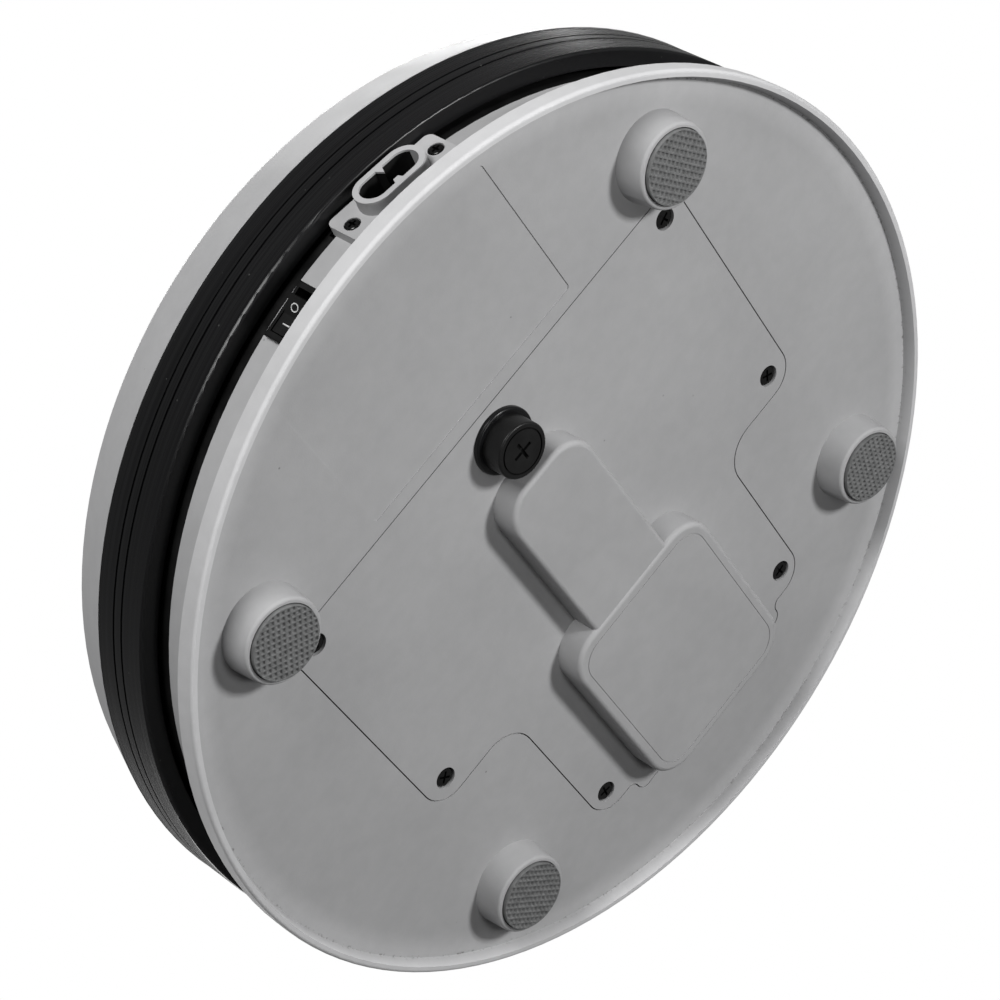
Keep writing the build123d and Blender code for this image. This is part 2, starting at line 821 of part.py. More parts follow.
def motor_gearbox():
    """Gearbox with an output boss off its centre."""
    box = disc(motor_r, can_top_z, gearbox_top_z, 0, motor_y)
    bore = disc(motor_shaft_r + running_gap, gearbox_top_z - shaft_depth,
                gearbox_top_z, 0, pinion_y)
    return box - bore


def motor_plate():
    """Steel mounting plate with two ears and the output boss."""
    plate = disc(motor_r, gearbox_top_z, motor_plate_top_z, 0, motor_y)
    bar = Box(2 * motor_ear_x, 2 * motor_ear_r, motor_plate_t)
    plate += Pos(0, motor_y, (gearbox_top_z + motor_plate_top_z) / 2) * bar
    for side in (1, -1):
        plate += disc(motor_ear_r, gearbox_top_z, motor_plate_top_z,
                      side * motor_ear_x, motor_y)
    for side in (1, -1):
        plate -= disc(motor_shank_r + screw_gap, gearbox_top_z, motor_plate_top_z,
                      side * motor_ear_x, motor_y)
    boss_top = motor_plate_top_z + shaft_boss_h
    plate += disc(shaft_boss_r, motor_plate_top_z, boss_top, 0, pinion_y)
    return plate - disc(motor_shaft_r + running_gap, gearbox_top_z, boss_top, 0, pinion_y)


def motor_shaft():
    """Output shaft of the gearbox."""
    return disc(motor_shaft_r, gearbox_top_z - shaft_depth, gear_top_z + shaft_stick_out,
                0, pinion_y)


def motor_screws():
    """Two screws up through the motor ears into the deck posts."""
    screw = pan_screw(motor_head_r, motor_head_h, motor_shank_r, motor_screw_len)
    return [Pos(side * motor_ear_x, motor_y, gearbox_top_z) * Rot(180, 0, 0) * screw
            for side in (1, -1)]


def stadium(width, height):
    """A slot shape with fully round ends."""
    return SlotOverall(width, height)


def inlet_socket():
    """Two pin inlet: flange, oval shroud with its ribs, and the rear body."""
    flange = extrude(RectangleRounded(inlet_flange_w, inlet_flange_h, inlet_corner_r),
                     -inlet_flange_t)
    shroud = extrude(stadium(shroud_w, shroud_h), shroud_rise)
    depth = shroud_rise + socket_depth
    rear = socket_depth + socket_floor_t
    body = Pos(0, 0, -rear / 2) * Box(inlet_body_w, inlet_body_h, rear)
    cavity = Pos(0, 0, -socket_depth) * extrude(stadium(socket_w, socket_h), depth)
    top = socket_h / 2
    top_rib = make_face(Polyline(
        (-rib_top_w / 2, top), (rib_top_w / 2, top), (0, top - rib_top_depth), close=True))
    low_rib = make_face(Polyline(
        (-rib_low_w / 2, -top), (rib_low_w / 2, -top),
        (rib_low_tip_w / 2, rib_low_depth - top), (-rib_low_tip_w / 2, rib_low_depth - top),
        close=True))
    ribs = Pos(0, 0, -socket_depth) * extrude(top_rib, depth)
    ribs += Pos(0, 0, -socket_depth) * extrude(low_rib, depth)
    part = flange + shroud + body - (cavity - ribs)
    for side in (1, -1):
        x = side * inlet_screw_half
        part -= Pos(x, 0, -inlet_flange_t / 2) * Cylinder(small_shank_r + screw_gap,
                                                          inlet_flange_t)
        sunk = small_head_h - screw_gap
        part -= Pos(x, 0, -sunk / 2) * Cylinder(small_head_r + screw_gap, sunk)
        pin_x = side * inlet_pin_half
        part -= Pos(pin_x, 0, -rear + socket_floor_t / 2) * Cylinder(inlet_pin_r,
                                                                     socket_floor_t)
    return inlet_plane() * part


def inlet_pins():
    """Two round contact pins with thinner solder tails."""
    rear = socket_depth + socket_floor_t
    length = rear + shroud_rise - inlet_pin_back
    pins = []
    for side in (1, -1):
        x = side * inlet_pin_half
        pin = Pos(x, 0, -rear + length / 2) * Cylinder(inlet_pin_r, length)
        tip = pin.edges().filter_by(GeomType.CIRCLE).sort_by(Axis.Z)[-1]
        pin = fillet(tip, inlet_pin_r / 2)
        pin += Pos(x, 0, -rear - inlet_tail / 2) * Cylinder(inlet_tail_r, inlet_tail)
        pins.append(inlet_plane() * pin)
    return pins


def inlet_screws():
    """Two screws through the inlet ears."""
    screw = pan_screw(small_head_r, small_head_h, small_shank_r,
                      small_screw_len - small_head_h)
    seat = screw_gap - small_head_h
    return [inlet_plane() * (Pos(side * inlet_screw_half, 0, seat) * screw)
            for side in (1, -1)]


def switch_housing():
    """Switch bezel and body with the well that the rocker sits in."""
    bezel = extrude(Rectangle(switch_w, switch_h), -switch_bezel_t)
    bezel = fillet(bezel.edges().group_by(Axis.Z)[-1], switch_bezel_fillet)
    depth = switch_bezel_t + switch_body_depth
    body = Pos(0, 0, -depth / 2 - switch_bezel_t / 2) * Box(
        switch_body_w, switch_body_h, switch_body_depth)
    well = Pos(0, 0, -rocker_well_depth / 2) * Box(
        2 * rocker_well_half, rocker_well_h, rocker_well_depth)
    part = bezel + body - well
    pivot = Rot(90, 0, 0) * Cylinder(rocker_pin_r + running_gap,
                                     rocker_well_h + 2 * rocker_pin_bury)
    return switch_plane() * (part - Pos(0, 0, -rocker_pivot_depth) * pivot)


def switch_rocker():
    """Rocker with a shallow V face, at rest with its left end pressed in."""
    tilt = math.radians(rocker_tilt)
    centre_h = (rocker_pivot_depth - rocker_flush) / math.cos(tilt)
    end_h = centre_h + rocker_half_len * math.tan(tilt)
    outline = Polyline(
        (0, centre_h), (rocker_half_len, end_h), (rocker_half_len, end_h - rocker_skirt),
        (rocker_half_len / 2, -rocker_skirt), (-rocker_half_len / 2, -rocker_skirt),
        (-rocker_half_len, end_h - rocker_skirt), (-rocker_half_len, end_h), close=True)
    flat = extrude(make_face(outline), rocker_width / 2, both=True)
    solid = Rot(90, 0, 0) * flat
    solid += Rot(90, 0, 0) * Cylinder(rocker_pin_r,
                                      rocker_well_h + 2 * rocker_pin_bury - body_gap)
    turned = Pos(0, 0, -rocker_pivot_depth) * Rot(0, -rocker_tilt, 0) * solid
    return switch_plane() * turned


def switch_tags():
    """Two flat solder tags at the back of the switch."""
    back = -switch_bezel_t - switch_body_depth
    return [box_on(switch_plane(), switch_tag_t, switch_tag_w, back - switch_tag_len, back,
                   side * switch_tag_half) for side in (1, -1)]


fuse_bezel_z = floor_z - fuse_bezel_t
fuse_cap_top_z = fuse_bezel_z - running_gap
fuse_low_z = fuse_cap_bottom_z + fuse_seat_depth
fuse_high_z = fuse_low_z + fuse_len


def fuse_holder():
    """Fuse holder body with its round bezel outside the cover."""
    body = disc(fuse_body_r, floor_z, fuse_body_top_z, 0, fuse_y)
    bezel = Pos(0, fuse_y, fuse_bezel_z + fuse_bezel_t / 2) * Cylinder(
        fuse_bezel_r, fuse_bezel_t)
    low_edge = bezel.edges().filter_by(GeomType.CIRCLE).sort_by(Axis.Z)[0]
    body += fillet(low_edge, fuse_bezel_t / 2)
    body -= disc(fuse_bore_r, fuse_bezel_z, fuse_body_top_z - fuse_body_end_t, 0, fuse_y)
    body -= disc(fuse_tag_r, fuse_body_top_z - fuse_body_end_t, fuse_body_top_z, 0, fuse_y)
    return body - fuse_side_tag()


def fuse_nut():
    """Round nut that clamps the fuse holder to the cover."""
    nut = slab(Pos(0, fuse_y) * RegularPolygon(fuse_nut_r, 6), cover_top_z,
               cover_top_z + fuse_nut_t)
    return nut - disc(fuse_body_r, cover_top_z, cover_top_z + fuse_nut_t, 0, fuse_y)


def fuse_side_tag():
    """Flat tag through the side of the fuse holder."""
    start = fuse_y + fuse_bore_r
    end = fuse_y + fuse_body_r + fuse_tag_len
    return Pos(0, (start + end) / 2, fuse_tag_z) * Box(fuse_tag_w, end - start, fuse_tag_t)


def fuse_contacts():
    """End contact with its bent tag, and the tag at the side of the holder."""
    inside_z = fuse_body_top_z - fuse_body_end_t
    contact = disc(fuse_contact_r, fuse_high_z + running_gap, inside_z, 0, fuse_y)
    contact += disc(fuse_tag_r, inside_z, fuse_body_top_z + fuse_tag_t, 0, fuse_y)
    reach = fuse_body_r + fuse_tag_len
    tag = Box(fuse_tag_w, reach + fuse_tag_w / 2, fuse_tag_t)
    middle = fuse_y + (reach - fuse_tag_w / 2) / 2
    contact += Pos(0, middle, fuse_body_top_z + fuse_tag_t / 2) * tag
    return [contact, fuse_side_tag()]


def fuse_cap():
    """Cap with a cross slot and a ring groove on its end, and a hollow stem."""
    head = disc(fuse_cap_r, fuse_cap_bottom_z, fuse_cap_top_z, 0, fuse_y)
    head = fillet(head.edges().filter_by(GeomType.CIRCLE).sort_by(Axis.Z)[0], fuse_cap_fillet)
    stem_top = fuse_bezel_z + fuse_stem_len
    head += disc(fuse_bore_r - body_gap, fuse_cap_top_z, stem_top, 0, fuse_y)
    low = fuse_cap_bottom_z
    head -= ring(fuse_cap_ring_r + fuse_cap_ring_w / 2, fuse_cap_ring_r - fuse_cap_ring_w / 2,
                 low, low + fuse_cap_slot_depth / 2, 0, fuse_y)
    for w, d in ((fuse_cap_slot_len, fuse_cap_slot_w), (fuse_cap_slot_w, fuse_cap_slot_len)):
        head -= Pos(0, fuse_y, low + fuse_cap_slot_depth / 2) * Box(w, d, fuse_cap_slot_depth)
    return head - disc(fuse_end_r, fuse_low_z, stem_top, 0, fuse_y)


def fuse_tube():
    """Glass tube of the fuse."""
    low = fuse_low_z + fuse_end_len
    high = fuse_high_z - fuse_end_len
    return ring(fuse_glass_r, fuse_glass_r - fuse_glass_t, low, high, 0, fuse_y)


def fuse_ends():
    """Metal end caps of the fuse."""
    low = disc(fuse_end_r, fuse_low_z, fuse_low_z + fuse_end_len, 0, fuse_y)
    high = disc(fuse_end_r, fuse_high_z - fuse_end_len, fuse_high_z, 0, fuse_y)
    return [low, high]


def terminal_block():
    """Two way terminal block on the floor of the narrow housing."""
    block = Pos(0, block_y, block_port_z) * Box(block_w, block_len, block_h)
    for side in (1, -1):
        x = side * block_post_half
        block -= disc(block_post_r, block_port_z, block_port_z + block_h / 2, x, block_y)
    return block


def wire(points):
    """A round wire along straight runs, with arcs as large as the runs allow."""
    places = [Vector(*p) for p in points]
    runs = [b - a for a, b in zip(places, places[1:])]
    radii = []
    for before, after in zip(runs, runs[1:]):
        half_turn = math.radians(before.get_angle(after) / 2)
        radii.append(bend_share * min(before.length, after.length) / math.tan(half_turn))
    path = FilletPolyline(*points, radius=radii)
    start = Plane(origin=path @ 0, z_dir=path % 0)
    return sweep(start * Circle(wire_r), path)


def behind(plane, x, depth):
    """World position behind a side plane."""
    return tuple(plane.from_local_coords(Vector(x, 0, -depth)))


def mains_wires():
    """Neutral, live, fused live and switched live wires inside the base."""
    pin_end = socket_depth + socket_floor_t + inlet_tail
    tag_end = switch_bezel_t + switch_body_depth + switch_tag_len
    port_y = block_y + block_len / 2
    drop_y = port_y + wire_lead / 3
    fuse_tag_end = fuse_y + fuse_body_r + fuse_tag_len
    fuse_turn_y = fuse_tag_end + 2 * wire_lead / 3
    top_tag_z = fuse_body_top_z + fuse_tag_t / 2
    beside_x = fuse_nut_r + wire_lead / 4
    beside_y = cover_top_y - ledge_in
    entry_y = narrow_end_y - 2 * housing_wall
    entry_x = block_post_half + 2 * wire_r
    wires = []
    for side, plane, x, end in ((-1, inlet_plane(), inlet_pin_half, pin_end),
                                (1, switch_plane(), -switch_tag_half, tag_end)):
        port_x = side * block_post_half
        wires.append(wire([
            behind(plane, x, end), behind(plane, x, end + wire_lead),
            (side * beside_x, beside_y, wire_z),
            (side * entry_x, entry_y, cover_top_z + 3 * wire_r),
            (port_x, drop_y, block_port_z), (port_x, port_y, block_port_z)]))
    for plane, x, end, z in ((inlet_plane(), -inlet_pin_half, pin_end, top_tag_z),
                             (switch_plane(), switch_tag_half, tag_end, fuse_tag_z)):
        wires.append(wire([
            behind(plane, x, end), behind(plane, x, end + wire_lead),
            (0, fuse_turn_y, z), (0, fuse_tag_end, z)]))
    return wires


def motor_leads():
    """Two leads from the terminal block to the motor can."""
    front_y = block_y - block_len / 2
    can_x = block_post_half - wire_r
    can_y = motor_y + math.sqrt(motor_r ** 2 - can_x ** 2)
    leads = []
    for side in (1, -1):
        x = side * block_post_half
        leads.append(wire([
            (x, front_y, block_port_z),
            (x, front_y - wire_lead / 2, block_port_z),
            (x + side * lead_bow, (front_y + can_y) / 2, block_port_z),
            (x, can_y + wire_lead / 2, block_port_z),
            (x, can_y, block_port_z)]))
    return leads


def save(name, shape):
    """Write one node, a single solid or a group of separate solids."""
    if isinstance(shape, list):
        shape = Compound(children=shape)
    export_step(shape, "parts/" + name + ".step")


def main():
    os.makedirs("parts", exist_ok=True)
    save("base_pan", base_pan())
    save("foot_pads", foot_pads())
    save("bottom_cover", bottom_cover())
    save("cover_screws", cover_screws())
    save("deck", deck())
    save("deck_screws", deck_screws())
    save("lower_race", race_ring(deck_top_z, deck_top_z + race_t))
    save("upper_race", race_ring(upper_race_top_z - race_t, upper_race_top_z))
    save("ball_cage", ball_cage())
    save("race_balls", race_balls())
    save("deck_bushing", deck_bushing())
    save("thrust_washer", thrust_washer())
    save("spindle", spindle())
    save("spindle_screws", spindle_screws())
    save("gear_pin", gear_pin())
    save("main_gear", main_gear())
    save("hub_spacer", hub_spacer())
    save("retaining_clip", retaining_clip())
    save("drive_pinion", drive_pinion())
    save("motor_shaft", motor_shaft())
    save("motor_can", motor_can())
    save("motor_gearbox", motor_gearbox())
    save("motor_plate", motor_plate())
    save("motor_screws", motor_screws())
    save("platter", platter())
    save("skirt_ring", skirt_ring())
    save("skirt_screws", skirt_screws())
    save("inlet_socket", inlet_socket())
    save("inlet_pins", inlet_pins())
    save("inlet_screws", inlet_screws())
    save("switch_housing", switch_housing())
    save("switch_rocker", switch_rocker())
    save("switch_tags", switch_tags())
    save("fuse_holder", fuse_holder())
    save("fuse_nut", fuse_nut())
    save("fuse_contacts", fuse_contacts())
    save("fuse_cap", fuse_cap())
    save("fuse_tube", fuse_tube())
    save("fuse_ends", fuse_ends())
    save("terminal_block", terminal_block())
    save("mains_wires", mains_wires())
    save("motor_leads", motor_leads())


main()
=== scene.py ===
import bmesh
import bpy
import json
import math
from mathutils import Matrix, Vector


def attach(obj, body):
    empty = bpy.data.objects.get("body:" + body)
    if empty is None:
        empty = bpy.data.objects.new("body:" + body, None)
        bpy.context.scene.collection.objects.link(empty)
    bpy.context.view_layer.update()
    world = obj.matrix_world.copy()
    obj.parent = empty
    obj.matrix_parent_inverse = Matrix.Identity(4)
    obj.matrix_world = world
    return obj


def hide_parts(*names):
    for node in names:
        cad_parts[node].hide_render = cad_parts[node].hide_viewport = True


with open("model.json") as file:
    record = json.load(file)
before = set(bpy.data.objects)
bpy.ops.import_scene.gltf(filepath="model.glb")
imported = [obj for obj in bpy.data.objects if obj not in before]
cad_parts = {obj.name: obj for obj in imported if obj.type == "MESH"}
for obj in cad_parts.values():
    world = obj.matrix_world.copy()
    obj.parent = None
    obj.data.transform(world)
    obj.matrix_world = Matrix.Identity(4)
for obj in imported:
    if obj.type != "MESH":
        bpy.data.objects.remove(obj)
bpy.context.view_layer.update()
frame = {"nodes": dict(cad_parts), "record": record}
nodes = frame["nodes"]

MM = 0.001
WHITE = (1.0, 1.0, 1.0, 1.0)

# Camera below the object, looking up at its underside: metres, degrees, and a lens in mm
CAMERA_SPOT = Vector((0.13452, 0.54040, -0.44641))
CAMERA_TARGET = Vector((0.00900, 0.02811, 0.00820))
CAMERA_ROLL = 59.9
CAMERA_LENS = 114.28
CAMERA_SENSOR = 36.0
CAMERA_NEAR = 0.01
CAMERA_FAR = 20.0

# Foot pads: where their centres are, and how far each one's grid is turned, in degrees
FOOT_X = 66.2 * MM
FOOT_Y = 60.5 * MM
FOOT_TURNS = {(1, 1): 33.7, (-1, 1): 60.0, (1, -1): 57.5, (-1, -1): 14.5}
PAD_R = 8.66 * MM
PAD_T = 2.6 * MM
PAD_REACH = 1.1 * PAD_R

# Pad grid: pitch, mesh steps to a pitch, and each pit's width and wall slope as shares of it
PAD_PITCH = 1.39 * MM
PAD_GRID_STEPS = 10
PAD_PIT_SHARE = 0.56
PAD_PIT_SLOPE = 0.07
PAD_PIT_DEPTH = 0.48 * MM

# Pad edge: its rounding, with a profile in shares of it, inwards from the side and upwards
PAD_EDGE = 0.20 * MM
PAD_ROUNDING = ((0.5, 0.0), (0.15, 0.15), (0.0, 0.5))

# Switch: its place on the wall, and how its rocker sits in it
SWITCH_AZIMUTH = 81.5
SWITCH_D = 105.4 * MM
SWITCH_Z = 16.0 * MM
ROCKER_PIVOT = 3.5 * MM
ROCKER_TILT = 12.0
ROCKER_CENTRE = 3.476 * MM

# Marks printed on the rocker: a ring on its off end and a bar on its on end
MARK_LINE = 0.26 * MM
MARK_THICKNESS = 0.03 * MM
MARK_GAP = MARK_THICKNESS / 4
MARK_TOP_SHARE = 0.7
RING_AT = 1.9 * MM
RING_HALF_X = 0.85 * MM
RING_HALF_Y = 1.05 * MM
RING_SPANS = 48
BAR_AT = 2.1 * MM
BAR_LENGTH = 2.2 * MM
BAR_HALF_SPANS = 4
SAME_SPOT = 1e-9

# Inlet: the box whose walls are dark, narrow enough to stay off the shroud's outer face
INLET_AZIMUTH = 100.2
INLET_Z = 18.0 * MM
INLET_DARK_D = 108.4 * MM
INLET_DARK_REACH = INLET_DARK_D / 4
INLET_HALF_W = 7.3 * MM
INLET_HALF_H = 3.5 * MM

# Base floor: radii over which painted shade and painted light are laid on it, lighter on its
# rim, and those of a fine dark line of painted corner shade with dirt
RIM_SHADE_FROM = 101.0 * MM
RIM_SHADE_TO = 110.0 * MM
RIM_LINE_FROM = 106.6 * MM
RIM_LINE_TO = 107.6 * MM

# Colours of the mouldings, clouded between two greys, of what lies on them, and of the painted
# shade in the base's rim corner
BASE_LIGHT = (0.50, 0.50, 0.505)
BASE_DARK = (0.455, 0.455, 0.46)
PLATTER_LIGHT = (0.51, 0.51, 0.515)
PLATTER_DARK = (0.465, 0.465, 0.47)
SPECK_GREY = (0.05, 0.05, 0.05)
# Grey of the fine dark line in the base's rim corner: painted corner shade with dirt
SHADE_AND_DIRT_GREY = (0.12, 0.115, 0.11)
DUST_GREY = (0.35, 0.35, 0.34)
CAVITY_BLACK = (0.012, 0.012, 0.012)

# Surfaces: how strongly each kind reflects, and the range that most noise values fall in
PLASTIC_IOR = 1.5
GREY_SHINE = 0.10
BLACK_SHINE = 0.25
RUBBER_SHINE = 0.3
SCREW_SHINE = 0.35
DUST_SHARE = 0.16
SPECK_PICK_FROM = 0.80
SPECK_PICK_TO = 0.86
NOISE_LOW = 0.3
NOISE_HIGH = 0.7

# Stage: where the lamps aim, the world's light on the object and in reflections, the floor
LAMP_TARGET = Vector((0.0, 0.0, 0.02))
SOFT_LIGHT = 0.03
GLOSSY_SHARE = 0.18
FLOOR_HALF = 4.0
FLOOR_GREY = (0.8, 0.8, 0.8, 1.0)
FLOOR_FADE_FROM = 0.35
FLOOR_FADE_TO = 1.1


def new_material(name):
    """A fresh node material with its shader and object coordinates."""
    material = bpy.data.materials.new(name)
    material.use_nodes = True
    tree = material.node_tree
    shader = tree.nodes["Principled BSDF"]
    place = tree.nodes.new("ShaderNodeTexCoord").outputs["Object"]
    return material, tree, shader, place


def add(tree, kind, **settings):
    """A node with some of its properties set."""
    node = tree.nodes.new(kind)
    for key, value in settings.items():
        setattr(node, key, value)
    return node


def combine(tree, operation, first, second):
    """Math on a socket and a second value, which is a number or a socket."""
    node = add(tree, "ShaderNodeMath", operation=operation)
    tree.links.new(first, node.inputs[0])
    if isinstance(second, (int, float)):
        node.inputs[1].default_value = second
    else:
        tree.links.new(second, node.inputs[1])
    return node.outputs["Value"]


def noise(tree, place, scale, detail, roughness, stretch=None):
    """Noise value at a scale given in waves per metre, stretched if asked."""
    if stretch:
        mapping = add(tree, "ShaderNodeMapping")
        mapping.inputs["Scale"].default_value = stretch
        tree.links.new(place, mapping.inputs["Vector"])
        place = mapping.outputs["Vector"]
    node = add(tree, "ShaderNodeTexNoise")
    node.inputs["Scale"].default_value = scale
    node.inputs["Detail"].default_value = detail
    node.inputs["Roughness"].default_value = roughness
    tree.links.new(place, node.inputs["Vector"])
    return node.outputs["Fac"]


def ramp(tree, value, stops):
    """Colour ramp with stops of place and grey or colour."""
    node = add(tree, "ShaderNodeValToRGB")
    while len(node.color_ramp.elements) < len(stops):
        node.color_ramp.elements.new(0.5)
    for element, (spot, colour) in zip(node.color_ramp.elements, stops):
        element.position = spot
        if isinstance(colour, (int, float)):
            colour = (colour, colour, colour)
        element.color = (*colour, 1.0)
    tree.links.new(value, node.inputs["Fac"])
    return node.outputs["Color"]


def clouded(tree, value, low, high):
    """Colour that goes from one to another over the usual range of a noise value."""
    return ramp(tree, value, [(NOISE_LOW, low), (NOISE_HIGH, high)])


def blend_colours(tree, mode, first, second, amount):
    """Mix two colours; the amount is a number or a socket."""
    node = add(tree, "ShaderNodeMix", data_type="RGBA", blend_type=mode)
    if isinstance(amount, (int, float)):
        node.inputs["Factor"].default_value = amount
    else:
        tree.links.new(amount, node.inputs["Factor"])
    for socket, value in (("A", first), ("B", second)):
        target = [i for i in node.inputs if i.name == socket and i.type == "RGBA"][0]
        if isinstance(value, tuple):
            target.default_value = (*value, 1.0)
        else:
            tree.links.new(value, target)
    return [o for o in node.outputs if o.type == "RGBA"][0]


def spread(tree, value, low, high, from_low=NOISE_LOW, from_high=NOISE_HIGH):
    """Map a value's range onto another, by default the usual range of a noise value."""
    node = add(tree, "ShaderNodeMapRange", clamp=True)
    node.inputs["From Min"].default_value = from_low
    node.inputs["From Max"].default_value = from_high
    node.inputs["To Min"].default_value = low
    node.inputs["To Max"].default_value = high
    tree.links.new(value, node.inputs["Value"])
    return node.outputs["Result"]


def coat(tree, shader, colour, roughness):
    """Link a shader's colour and roughness."""
    tree.links.new(colour, shader.inputs["Base Color"])
    tree.links.new(roughness, shader.inputs["Roughness"])


def bump(tree, shader, heights):
    """Stack bumps, each a height socket and its depth in metres."""
    normal = None
    for height, depth in heights:
        node = add(tree, "ShaderNodeBump")
        node.inputs["Distance"].default_value = depth
        node.inputs["Strength"].default_value = 1.0
        tree.links.new(height, node.inputs["Height"])
        if normal is not None:
            tree.links.new(normal, node.inputs["Normal"])
        normal = node.outputs["Normal"]
    tree.links.new(normal, shader.inputs["Normal"])


def radius_from_axis(tree, place):
    """Distance from the turning axis, in metres."""
    split = add(tree, "ShaderNodeSeparateXYZ")
    tree.links.new(place, split.inputs["Vector"])
    flat = add(tree, "ShaderNodeCombineXYZ")
    tree.links.new(split.outputs["X"], flat.inputs["X"])
    tree.links.new(split.outputs["Y"], flat.inputs["Y"])
    length = add(tree, "ShaderNodeVectorMath", operation="LENGTH")
    tree.links.new(flat.outputs["Vector"], length.inputs[0])
    return length.outputs["Value"]


def specks(tree, place, scale, size):
    """Sparse small round specks: one where a speck falls, zero elsewhere."""
    cells = add(tree, "ShaderNodeTexVoronoi", feature="F1")
    cells.inputs["Scale"].default_value = scale
    tree.links.new(place, cells.inputs["Vector"])
    near = spread(tree, cells.outputs["Distance"], 1.0, 0.0, size * 0.5, size)
    pick = add(tree, "ShaderNodeSeparateColor")
    tree.links.new(cells.outputs["Color"], pick.inputs["Color"])
    rare = spread(tree, pick.outputs["Red"], 0.0, 1.0, SPECK_PICK_FROM, SPECK_PICK_TO)
    return combine(tree, "MULTIPLY", near, rare)


def within(tree, place, direction, centre, half):
    """One where a point lies within a half width of a centre along a direction."""
    along = add(tree, "ShaderNodeVectorMath", operation="DOT_PRODUCT")
    tree.links.new(place, along.inputs[0])
    along.inputs[1].default_value = direction
    test = add(tree, "ShaderNodeMath", operation="COMPARE")
    tree.links.new(along.outputs["Value"], test.inputs[0])
    test.inputs[1].default_value = centre
    test.inputs[2].default_value = half
    return test.outputs["Value"]


def dark_cavity(tree, place, colour):
    """Black in the box inside the inlet, behind its front edge."""
    a = math.radians(INLET_AZIMUTH)
    found = within(tree, place, (-math.sin(a), math.cos(a), 0), 0.0, INLET_HALF_W)
    deep = within(tree, place, (math.cos(a), math.sin(a), 0),
                  INLET_DARK_D - INLET_DARK_REACH, INLET_DARK_REACH)
    level = within(tree, place, (0, 0, 1), INLET_Z, INLET_HALF_H)
    found = combine(tree, "MULTIPLY", combine(tree, "MULTIPLY", found, deep), level)
    return blend_colours(tree, "MIX", colour, CAVITY_BLACK, found)


def rim_painted_light_and_dirt(tree, place, colour):
    """Paint shade and light on the base by its radius, lighter on the rim, with a broken fine
    dark line of painted corner shade and dirt in it.
    """
    radius = radius_from_axis(tree, place)
    # Painted shade and light by radius: darker inside, a lighter band, painted shade at the
    # inner corner, painted light on the rim
    shade = ramp(tree, spread(tree, radius, 0.0, 1.0, RIM_SHADE_FROM, RIM_SHADE_TO),
                 [(0.0, 0.86), (0.45, 0.98), (0.72, 0.94), (0.82, 1.30)])
    colour = blend_colours(tree, "MULTIPLY", colour, shade, 1.0)
    # Fine dark line at the inner corner of the rim, broken by noise: painted corner shade with
    # dirt
    line = ramp(tree, spread(tree, radius, 0.0, 1.0, RIM_LINE_FROM, RIM_LINE_TO),
                [(0.0, 0.0), (0.5, 1.0), (1.0, 0.0)])
    shade_and_dirt_breaks = noise(tree, place, scale=900.0, detail=2.0, roughness=0.7)
    gate = ramp(tree, shade_and_dirt_breaks, [(0.55, 0.0), (0.70, 0.8)])
    grey = add(tree, "ShaderNodeRGBToBW")
    tree.links.new(blend_colours(tree, "MULTIPLY", line, gate, 1.0), grey.inputs["Color"])
    return blend_colours(tree, "MIX", colour, SHADE_AND_DIRT_GREY, grey.outputs["Val"])


def moulded_plastic(name, light, dark, speck_share, local=None):
    """Satin light grey plastic with faint clouding, fine grain, rare specks and a local look."""
    material, tree, shader, place = new_material(name)
    clouds = noise(tree, place, scale=26.0, detail=4.0, roughness=0.55)
    colour = clouded(tree, clouds, dark, light)
    mottle = noise(tree, place, scale=240.0, detail=3.0, roughness=0.6)
    tint = ramp(tree, mottle, [(0.35, 0.93), (0.65, 1.0)])
    colour = blend_colours(tree, "MULTIPLY", colour, tint, 0.6)
    spots = specks(tree, place, scale=170.0, size=0.055)
    colour = blend_colours(tree, "MIX", colour, SPECK_GREY,
                           combine(tree, "MULTIPLY", spots, speck_share))
    if local:
        colour = local(tree, place, colour)
    smear = noise(tree, place, scale=60.0, detail=3.0, roughness=0.6)
    coat(tree, shader, colour, spread(tree, smear, 0.42, 0.56))
    shader.inputs["IOR"].default_value = PLASTIC_IOR
    shader.inputs["Specular IOR Level"].default_value = GREY_SHINE
    grain = noise(tree, place, scale=2600.0, detail=2.0, roughness=0.5)
    sink = noise(tree, place, scale=45.0, detail=2.0, roughness=0.4)
    bump(tree, shader, [(sink, 0.16 * MM), (grain, 0.018 * MM)])
    return material


def gloss_black(name):
    """Gloss black plastic with faint turning lines and dust."""
    material, tree, shader, place = new_material(name)
    lines = noise(tree, place, scale=1.0, detail=4.0, roughness=0.6,
                  stretch=(6.0, 6.0, 1500.0))
    colour = clouded(tree, lines, (0.004, 0.004, 0.0045), (0.009, 0.009, 0.0095))
    spots = specks(tree, place, scale=420.0, size=0.11)
    colour = blend_colours(tree, "MIX", colour, DUST_GREY,
                           combine(tree, "MULTIPLY", spots, DUST_SHARE))
    coat(tree, shader, colour, spread(tree, lines, 0.20, 0.34))
    shader.inputs["IOR"].default_value = PLASTIC_IOR
    shader.inputs["Specular IOR Level"].default_value = BLACK_SHINE
    wave = noise(tree, place, scale=1.0, detail=3.0, roughness=0.5,
                 stretch=(14.0, 14.0, 420.0))
    dust = noise(tree, place, scale=700.0, detail=4.0, roughness=0.7)
    bump(tree, shader, [(wave, 0.025 * MM), (dust, 0.004 * MM)])
    return material


def satin_black(name, level=0.007, rough=(0.30, 0.46), shine=BLACK_SHINE):
    """Satin black plastic with a fine grain."""
    material, tree, shader, place = new_material(name)
    cloud = noise(tree, place, scale=160.0, detail=4.0, roughness=0.6)
    colour = clouded(tree, cloud, level * 0.7, level * 1.4)
    coat(tree, shader, colour, spread(tree, cloud, *rough))
    shader.inputs["Specular IOR Level"].default_value = shine
    grain = noise(tree, place, scale=3000.0, detail=2.0, roughness=0.5)
    bump(tree, shader, [(grain, 0.015 * MM)])
    return material


